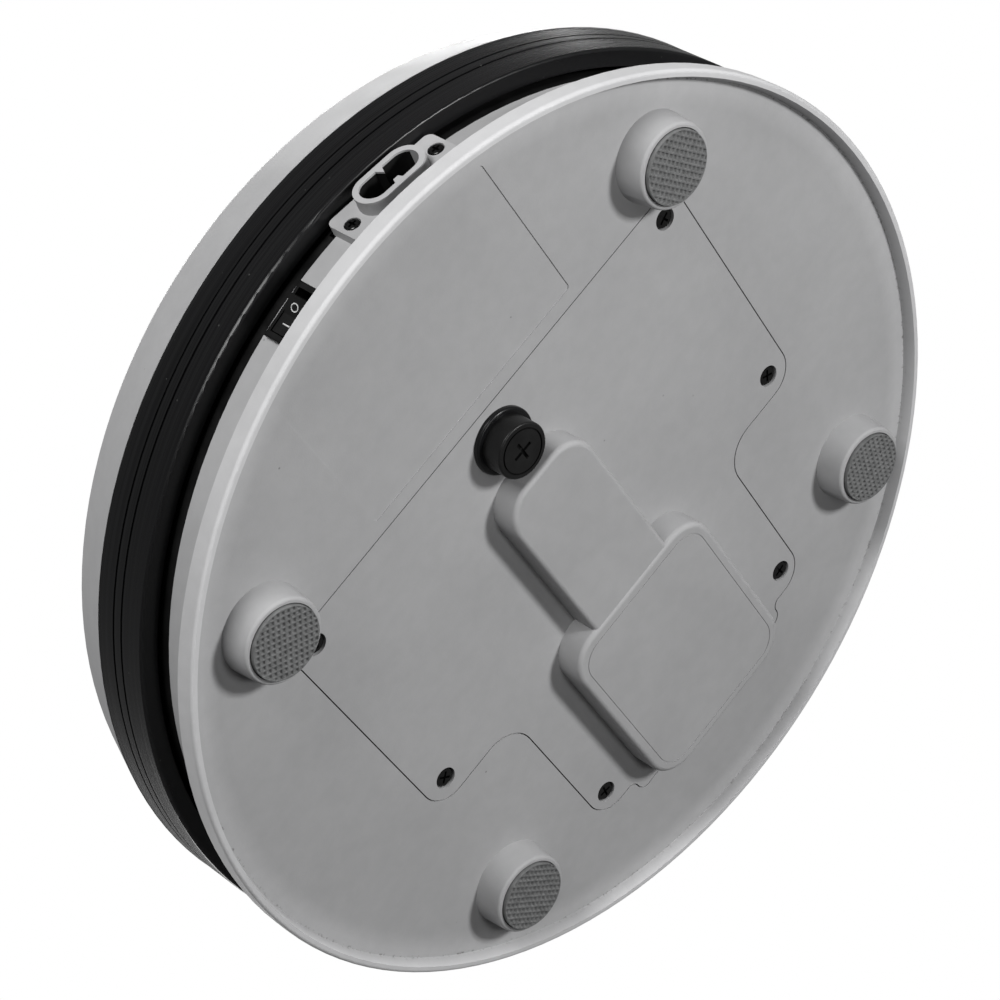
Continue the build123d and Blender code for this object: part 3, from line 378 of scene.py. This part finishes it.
def pad_rubber(name):
    """Grey rubber of the foot pads."""
    material, tree, shader, place = new_material(name)
    cloud = noise(tree, place, scale=500.0, detail=4.0, roughness=0.65)
    colour = clouded(tree, cloud, (0.115, 0.117, 0.117), (0.190, 0.192, 0.192))
    coat(tree, shader, colour, spread(tree, cloud, 0.6, 0.8))
    shader.inputs["Specular IOR Level"].default_value = RUBBER_SHINE
    grain = noise(tree, place, scale=5200.0, detail=2.0, roughness=0.6)
    bump(tree, shader, [(grain, 0.03 * MM)])
    return material


def metal(name, colour, rough):
    """Turned or plated metal with fine lines and slight tarnish."""
    material, tree, shader, place = new_material(name)
    shader.inputs["Metallic"].default_value = 1.0
    tarnish = noise(tree, place, scale=220.0, detail=4.0, roughness=0.6)
    dull = tuple(c * 0.8 for c in colour)
    coat(tree, shader, clouded(tree, tarnish, dull, colour),
         spread(tree, tarnish, rough * 0.8, rough * 1.25))
    lines = noise(tree, place, scale=1.0, detail=3.0, roughness=0.6,
                  stretch=(60.0, 60.0, 900.0))
    bump(tree, shader, [(lines, 0.02 * MM)])
    return material


def nylon(name, colour):
    """Natural nylon, slightly milky."""
    material, tree, shader, place = new_material(name)
    cloud = noise(tree, place, scale=90.0, detail=3.0, roughness=0.5)
    milky = tuple(c * 0.92 for c in colour)
    coat(tree, shader, clouded(tree, cloud, milky, colour), spread(tree, cloud, 0.4, 0.55))
    grain = noise(tree, place, scale=1800.0, detail=2.0, roughness=0.5)
    bump(tree, shader, [(grain, 0.02 * MM)])
    return material


def clear_glass(name):
    """Clear glass of the fuse tube, with a faint haze."""
    material, tree, shader, place = new_material(name)
    haze = noise(tree, place, scale=300.0, detail=3.0, roughness=0.5)
    coat(tree, shader, clouded(tree, haze, (0.86, 0.9, 0.9), (0.95, 0.97, 0.97)),
         spread(tree, haze, 0.03, 0.09))
    shader.inputs["Transmission Weight"].default_value = 1.0
    return material


def white_mark(name):
    """Slightly worn white marking ink."""
    material, tree, shader, place = new_material(name)
    cloud = noise(tree, place, scale=2500.0, detail=3.0, roughness=0.6)
    coat(tree, shader, ramp(tree, cloud, [(0.3, 0.55), (0.6, 0.8)]),
         spread(tree, cloud, 0.4, 0.6))
    return material


materials = {
    # The base's grey carries painted shade and light by its radius, and a dark corner line of
    # painted shade with dirt
    "base_grey": moulded_plastic("base_grey", BASE_LIGHT, BASE_DARK, 0.5, rim_painted_light_and_dirt),
    "platter_grey": moulded_plastic("platter_grey", PLATTER_LIGHT, PLATTER_DARK, 0.3),
    "gloss_black": gloss_black("gloss_black"),
    "black_plastic": satin_black("black_plastic"),
    "pad_rubber": pad_rubber("pad_rubber"),
    "black_screw": satin_black("black_screw", 0.003, (0.10, 0.18), SCREW_SHINE),
    "zinc_steel": metal("zinc_steel", (0.62, 0.62, 0.60), 0.35),
    "race_steel": metal("race_steel", (0.56, 0.56, 0.57), 0.25),
    "bright_steel": metal("bright_steel", (0.74, 0.74, 0.75), 0.12),
    "bronze": metal("bronze", (0.62, 0.42, 0.20), 0.35),
    "pin_brass": metal("pin_brass", (0.62, 0.60, 0.55), 0.3),
    "white_nylon": nylon("white_nylon", (0.78, 0.77, 0.73)),
    "clear_glass": clear_glass("clear_glass"),
    "wire_cover": satin_black("wire_cover", 0.02, (0.45, 0.6)),
}
inlet_plastic = moulded_plastic("inlet_grey", BASE_LIGHT, BASE_DARK, 0.2, dark_cavity)


def dress_nodes():
    """Give each carried-over node its material."""
    slots = {s["node"]: s["material_slot"] for s in frame["record"]["subparts"]}
    for name, thing in nodes.items():
        dress = inlet_plastic if name == "inlet_socket" else materials[slots[name]]
        thing.data.materials.clear()
        thing.data.materials.append(dress)


def link_object(name, data):
    """A new object in the scene."""
    thing = bpy.data.objects.new(name, data)
    bpy.context.scene.collection.objects.link(thing)
    return thing


def add_piece(name, mesh, material, body):
    """Link a mesh as a piece that rides on a body."""
    thing = link_object(name, mesh)
    mesh.materials.append(material)
    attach(thing, body)
    return thing


def finished(mesh, name):
    """Mesh data from a bmesh."""
    data = bpy.data.meshes.new(name)
    mesh.to_mesh(data)
    mesh.free()
    return data


def pit_share(x, y, angle):
    """How deep a point of a pad lies in one of its square pits, from zero to one."""
    c, s = math.cos(math.radians(angle)), math.sin(math.radians(angle))
    across = ((x * c + y * s) / PAD_PITCH) % 1.0
    along = ((y * c - x * s) / PAD_PITCH) % 1.0
    edge = min(0.5 - abs(across - 0.5), 0.5 - abs(along - 0.5))
    wall = (1.0 - PAD_PIT_SHARE) / 2
    return max(0.0, min(1.0, (edge - wall + PAD_PIT_SLOPE) / (2 * PAD_PIT_SLOPE)))


def pad_grid(mesh, cx, cy, angle):
    """The underside of one pad, as a stepped round sheet with its pits."""
    step = PAD_PITCH / PAD_GRID_STEPS
    count = int(2 * PAD_R / step)
    flat_r = PAD_R - PAD_EDGE
    corners = {}
    for i in range(count + 1):
        for j in range(count + 1):
            x = -PAD_R + i * step
            y = -PAD_R + j * step
            r = math.hypot(x, y)
            if r > flat_r:
                continue
            fade = min(1.0, (flat_r - r) / PAD_EDGE)
            z = PAD_PIT_DEPTH * pit_share(x, y, angle) * fade
            corners[i, j] = mesh.verts.new((cx + x, cy + y, z))
    for i, j in corners:
        square = [corners.get(spot)
                  for spot in ((i, j), (i, j + 1), (i + 1, j + 1), (i + 1, j))]
        if all(square):
            mesh.faces.new(square)


def pad_side(mesh, cx, cy):
    """Round off a pad from the stepped edge of its grid and close it with a side and top."""
    below = [e for e in mesh.edges if len(e.link_faces) == 1
             and Vector((e.verts[0].co.x - cx, e.verts[0].co.y - cy)).length < PAD_REACH]
    profile = [(PAD_R - PAD_EDGE * inward, PAD_EDGE * upward)
               for inward, upward in PAD_ROUNDING]
    for radius, height in profile + [(PAD_R, PAD_T)]:
        grown = bmesh.ops.extrude_edge_only(mesh, edges=below)["geom"]
        for thing in grown:
            if isinstance(thing, bmesh.types.BMVert):
                out = Vector((thing.co.x - cx, thing.co.y - cy)).normalized() * radius
                thing.co = Vector((cx + out.x, cy + out.y, height))
        below = [g for g in grown if isinstance(g, bmesh.types.BMEdge)]
    bmesh.ops.holes_fill(mesh, edges=below, sides=0)


def foot_pads():
    """Rubber pads with a waffle of square pits in their undersides."""
    mesh = bmesh.new()
    for (sx, sy), angle in FOOT_TURNS.items():
        pad_grid(mesh, sx * FOOT_X, sy * FOOT_Y, angle)
        pad_side(mesh, sx * FOOT_X, sy * FOOT_Y)
    data = finished(mesh, "foot_pad_waffle")
    for polygon in data.polygons:
        polygon.use_smooth = True
    return data


def ink_line(points, place):
    """A raised line of ink along a closed or open run of flat points."""
    mesh = bmesh.new()
    closed = (Vector(points[0]) - Vector(points[-1])).length < SAME_SPOT
    if closed:
        points = points[:-1]
    count = len(points)
    rise = Vector((0, 0, MARK_THICKNESS))
    rings = []
    for k, point in enumerate(points):
        before = points[(k - 1) % count] if closed or k > 0 else point
        after = points[(k + 1) % count] if closed or k < count - 1 else point
        along = Vector((after[0] - before[0], after[1] - before[1], 0)).normalized()
        across = Vector((-along.y, along.x, 0)) * MARK_LINE / 2
        base = Vector((point[0], point[1], 0))
        section = (base - across, base - across * MARK_TOP_SHARE + rise,
                   base + across * MARK_TOP_SHARE + rise, base + across)
        rings.append([mesh.verts.new(place @ corner) for corner in section])
    spans = count if closed else count - 1
    for k in range(spans):
        here, there = rings[k], rings[(k + 1) % count]
        for i in range(3):
            mesh.faces.new((here[i], there[i], there[i + 1], here[i + 1]))
    if not closed:
        mesh.faces.new(rings[0])
        mesh.faces.new(rings[-1][::-1])
    bmesh.ops.recalc_face_normals(mesh, faces=mesh.faces)
    return mesh


def rocker_face(mark_side):
    """Frame on one half of the rocker's face: x along it, y across, z outward."""
    a = math.radians(SWITCH_AZIMUTH)
    outward = Vector((math.cos(a), math.sin(a), 0))
    around = Vector((-math.sin(a), math.cos(a), 0))
    body = Matrix((around, Vector((0, 0, 1)), outward)).transposed().to_4x4()
    body.translation = outward * (SWITCH_D - ROCKER_PIVOT) + Vector((0, 0, SWITCH_Z))
    tilt = math.radians(ROCKER_TILT)
    turn = Matrix.Rotation(-tilt, 4, "Y")
    slope = Matrix.Rotation(-mark_side * tilt, 4, "Y")
    centre = Matrix.Translation((0, 0, ROCKER_CENTRE))
    return body @ turn @ centre @ slope @ Matrix.Translation((0, 0, MARK_GAP))


def mark_ring():
    """The ring that marks the off end of the rocker."""
    middle = RING_AT / math.cos(math.radians(ROCKER_TILT))
    turns = [2 * math.pi * k / RING_SPANS for k in range(RING_SPANS + 1)]
    points = [(middle + RING_HALF_X * math.cos(t), RING_HALF_Y * math.sin(t)) for t in turns]
    return ink_line(points, rocker_face(1))


def mark_bar():
    """The bar that marks the on end of the rocker."""
    half = BAR_LENGTH / 2
    points = [(-BAR_AT, -half + half * k / BAR_HALF_SPANS)
              for k in range(2 * BAR_HALF_SPANS + 1)]
    return ink_line(points, rocker_face(-1))


def set_camera():
    """Camera that looks from its spot to its target, rolled about that line."""
    forward = (CAMERA_TARGET - CAMERA_SPOT).normalized()
    side = forward.cross(Vector((0, 0, 1))).normalized()
    upright = side.cross(forward)
    roll = math.radians(CAMERA_ROLL)
    up = upright * math.cos(roll) + side * math.sin(roll)
    right = forward.cross(up)
    data = bpy.data.cameras.new("camera")
    data.lens = CAMERA_LENS
    data.sensor_width = CAMERA_SENSOR
    data.clip_start = CAMERA_NEAR
    data.clip_end = CAMERA_FAR
    camera = link_object("camera", data)
    turn = Matrix((right, up, -forward)).transposed().to_4x4()
    camera.matrix_world = Matrix.Translation(CAMERA_SPOT) @ turn
    bpy.context.scene.camera = camera


def lamp(name, spot, size, power):
    """Soft square lamp aimed at the object."""
    data = bpy.data.lights.new(name, "AREA")
    data.shape = "SQUARE"
    data.size = size
    data.energy = power
    thing = link_object(name, data)
    thing.location = spot
    thing.rotation_mode = "QUATERNION"
    thing.rotation_quaternion = (LAMP_TARGET - Vector(spot)).to_track_quat("-Z", "Y")


def mix_shaders(tree, share, first, second, output):
    """Link two shaders to an output, with the second one's share."""
    mixed = add(tree, "ShaderNodeMixShader")
    tree.links.new(share, mixed.inputs["Fac"])
    tree.links.new(first, mixed.inputs[1])
    tree.links.new(second, mixed.inputs[2])
    tree.links.new(mixed.outputs["Shader"], output.inputs["Surface"])


def background(tree, strength):
    """White background light of some strength."""
    node = add(tree, "ShaderNodeBackground")
    node.inputs["Color"].default_value = WHITE
    node.inputs["Strength"].default_value = strength
    return node.outputs["Background"]


def white_world():
    """White to the camera and through glass, less in reflections, and a faint soft light."""
    world = bpy.data.worlds.new("world")
    bpy.context.scene.world = world
    world.use_nodes = True
    tree = world.node_tree
    tree.nodes.clear()
    path = add(tree, "ShaderNodeLightPath")
    seen = combine(tree, "MAXIMUM", path.outputs["Is Camera Ray"],
                   path.outputs["Is Transmission Ray"])
    shiny = combine(tree, "MULTIPLY", path.outputs["Is Glossy Ray"], GLOSSY_SHARE)
    mix_shaders(tree, combine(tree, "MAXIMUM", seen, shiny), background(tree, SOFT_LIGHT),
                background(tree, 1.0), add(tree, "ShaderNodeOutputWorld"))


def pale_floor():
    """Pale floor under the feet, which shows from above only, and fades out far away."""
    mesh = bmesh.new()
    bmesh.ops.create_grid(mesh, x_segments=1, y_segments=1, size=FLOOR_HALF)
    data = finished(mesh, "floor")
    floor = link_object("floor", data)
    material = bpy.data.materials.new("floor")
    material.use_nodes = True
    tree = material.node_tree
    tree.nodes.clear()
    paper = add(tree, "ShaderNodeBsdfDiffuse")
    paper.inputs["Color"].default_value = FLOOR_GREY
    clear = add(tree, "ShaderNodeBsdfTransparent")
    shape = add(tree, "ShaderNodeNewGeometry")
    place = add(tree, "ShaderNodeTexCoord").outputs["Object"]
    far = add(tree, "ShaderNodeMapRange", clamp=True, interpolation_type="SMOOTHSTEP")
    far.inputs["From Min"].default_value = FLOOR_FADE_FROM
    far.inputs["From Max"].default_value = FLOOR_FADE_TO
    tree.links.new(radius_from_axis(tree, place), far.inputs["Value"])
    unseen = combine(tree, "MAXIMUM", shape.outputs["Backfacing"], far.outputs["Result"])
    mix_shaders(tree, unseen, paper.outputs["BSDF"], clear.outputs["BSDF"],
                add(tree, "ShaderNodeOutputMaterial"))
    data.materials.append(material)
    floor.visible_shadow = False
    floor.visible_diffuse = False
    floor.visible_glossy = False
    floor.visible_transmission = False


dress_nodes()
pads = add_piece("foot_pad_grid", foot_pads(), materials["pad_rubber"], "base")
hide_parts("foot_pads")
for mark_name, mark in (("rocker_mark_off", mark_ring()), ("rocker_mark_on", mark_bar())):
    add_piece(mark_name, finished(mark, mark_name), white_mark(mark_name), "rocker")

set_camera()
lamp("key_below", spot=(-0.56, 0.28, -0.80), size=0.16, power=7.4)
lamp("near_below", spot=(-0.02, 0.14, -0.36), size=0.08, power=0.26)
lamp("fill_side", spot=(0.05, 1.25, 0.0), size=0.5, power=12.0)
lamp("top", spot=(-0.5, -0.5, 1.3), size=0.8, power=16.0)
lamp("back", spot=(0.9, -0.8, 0.5), size=0.7, power=6.0)
white_world()
pale_floor()
bpy.context.scene.view_settings.view_transform = "Standard"
